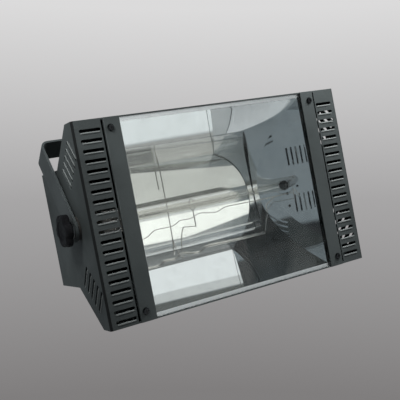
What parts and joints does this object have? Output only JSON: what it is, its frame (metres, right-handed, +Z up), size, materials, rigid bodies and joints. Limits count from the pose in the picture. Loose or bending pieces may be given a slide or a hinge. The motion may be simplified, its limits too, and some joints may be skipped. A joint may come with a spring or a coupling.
{
  "type": "stage strobe light",
  "caption": "Box-shaped stage strobe light: glass front over a mirror trough with a xenon tube, slotted side columns, rear controls and a tilting U-shaped yoke.",
  "frame": {"origin": "centre of the clamp bolt hole, on the outer face of the yoke's crossbar", "axes": "+X along the tube, from left to right as seen from the front; +Y from the glass to the rear panel; +Z up"},
  "size_m": [0.442, 0.1608, 0.25],
  "materials": {
    "powder_coat": "fine-textured black powder coat",
    "yoke_coat": "satin black powder coat",
    "mirror": "bright rolled mirror sheet",
    "glass": "clear tempered glass",
    "quartz": "clear quartz tube",
    "black_screw": "black oxide",
    "steel": "zinc plated",
    "aluminium": "mill finish",
    "ceramic": "unglazed white ceramic",
    "black_plastic": "moulded, satin",
    "fibre": "pressed fibre, matt",
    "laminate": "green solder mask",
    "capacitor_sleeve": "shrink sleeve",
    "copper_winding": "enamelled copper wire",
    "silicone": "silicone sleeve",
    "smoked_window": "smoked red window"
  },
  "bodies": {
    "yoke": {"yoke": "yoke_coat"},
    "housing": {"main_shell": "powder_coat", "rear_panel": "powder_coat", "end_panel_left": "powder_coat", "end_panel_right": "powder_coat", "glass_strip_left": "powder_coat", "glass_strip_right": "powder_coat", "safety_eye": "yoke_coat", "reflector_trough": "mirror", "reflector_end_left": "mirror", "reflector_end_right": "mirror", "front_glass": "glass", "lamp_tube": "quartz", "strip_screw_left_top": "black_screw", "strip_screw_left_bottom": "black_screw", "strip_screw_right_top": "black_screw", "strip_screw_right_bottom": "black_screw", "rear_screw_left_top": "black_screw", "rear_screw_left_bottom": "black_screw", "rear_screw_right_top": "black_screw", "rear_screw_right_bottom": "black_screw", "fan_guard": "black_screw", "lamp_clip": "steel", "trigger_wire": "steel", "lamp_cap_left": "steel", "lamp_cap_right": "steel", "pivot_nut_left": "steel", "pivot_nut_right": "steel", "heatsink": "aluminium", "lamp_holder_left": "ceramic", "lamp_holder_right": "ceramic", "fan_frame": "black_plastic", "signal_socket_in": "black_plastic", "signal_socket_out": "black_plastic", "mains_inlet": "black_plastic", "fuse_holder": "black_plastic", "trigger_transformer": "black_plastic", "spacer_washer_left": "fibre", "spacer_washer_right": "fibre", "control_board": "laminate", "circuit_board": "laminate", "capacitor_1": "capacitor_sleeve", "capacitor_2": "capacitor_sleeve", "capacitor_3": "capacitor_sleeve", "capacitor_4": "capacitor_sleeve", "choke": "copper_winding", "lamp_lead_left": "silicone", "lamp_lead_right": "silicone", "display_window": "smoked_window"},
    "washer_left": {"outer_washer_left": "steel"},
    "washer_right": {"outer_washer_right": "steel"},
    "knob_left": {"clamp_knob_left": "black_plastic"},
    "knob_right": {"clamp_knob_right": "black_plastic"},
    "rotor": {"fan_rotor": "black_plastic"},
    "button_1": {"menu_button_1": "black_plastic"},
    "button_2": {"menu_button_2": "black_plastic"},
    "button_3": {"menu_button_3": "black_plastic"},
    "button_4": {"menu_button_4": "black_plastic"},
    "fuse_cap": {"fuse_cap": "black_plastic"},
    "latch": {"socket_latch": "steel"}
  },
  "joints": [
    {"name": "yoke_tilt", "type": "hinge", "parent": "yoke", "child": "housing", "pos_m": [0, -0.07571, -0.10813], "axis": [1, 0, 0], "range_deg": [-35, 145]},
    {"name": "clamp_left_travel", "type": "slide", "parent": "housing", "child": "washer_left", "axis": [-1, 0, 0], "range_m": [0, 0.0025]},
    {"name": "knob_left_turn", "type": "hinge", "parent": "washer_left", "child": "knob_left", "pos_m": [-0.215, -0.07571, -0.10813], "axis": [-1, 0, 0], "range_deg": [0, 720]},
    {"name": "clamp_right_travel", "type": "slide", "parent": "housing", "child": "washer_right", "axis": [1, 0, 0], "range_m": [0, 0.0025]},
    {"name": "knob_right_turn", "type": "hinge", "parent": "washer_right", "child": "knob_right", "pos_m": [0.215, -0.07571, -0.10813], "axis": [1, 0, 0], "range_deg": [0, 720]},
    {"name": "fan_spin", "type": "hinge", "parent": "housing", "child": "rotor", "pos_m": [0.112, 0.01289, -0.10813], "axis": [0, 1, 0], "continuous": true},
    {"name": "button_1_press", "type": "slide", "parent": "housing", "child": "button_1", "axis": [0, -1, 0], "range_m": [0, 0.0012], "stiffness_N_per_m": 500, "springref_m": -0.001},
    {"name": "button_2_press", "type": "slide", "parent": "housing", "child": "button_2", "axis": [0, -1, 0], "range_m": [0, 0.0012], "stiffness_N_per_m": 500, "springref_m": -0.001},
    {"name": "button_3_press", "type": "slide", "parent": "housing", "child": "button_3", "axis": [0, -1, 0], "range_m": [0, 0.0012], "stiffness_N_per_m": 500, "springref_m": -0.001},
    {"name": "button_4_press", "type": "slide", "parent": "housing", "child": "button_4", "axis": [0, -1, 0], "range_m": [0, 0.0012], "stiffness_N_per_m": 500, "springref_m": -0.001},
    {"name": "fuse_cap_turn", "type": "hinge", "parent": "housing", "child": "fuse_cap", "pos_m": [0.036, 0.02829, -0.13413], "axis": [0, 1, 0], "range_deg": [0, 90]},
    {"name": "latch_press", "type": "slide", "parent": "housing", "child": "latch", "axis": [0, -1, 0], "range_m": [0, 0.0014], "stiffness_N_per_m": 600, "springref_m": -0.001}
  ],
  "couplings": [
    {"joint": "clamp_left_travel", "follows": "knob_left_turn", "m_per_rad": 0.00019894},
    {"joint": "clamp_right_travel", "follows": "knob_right_turn", "m_per_rad": 0.00019894}
  ]
}
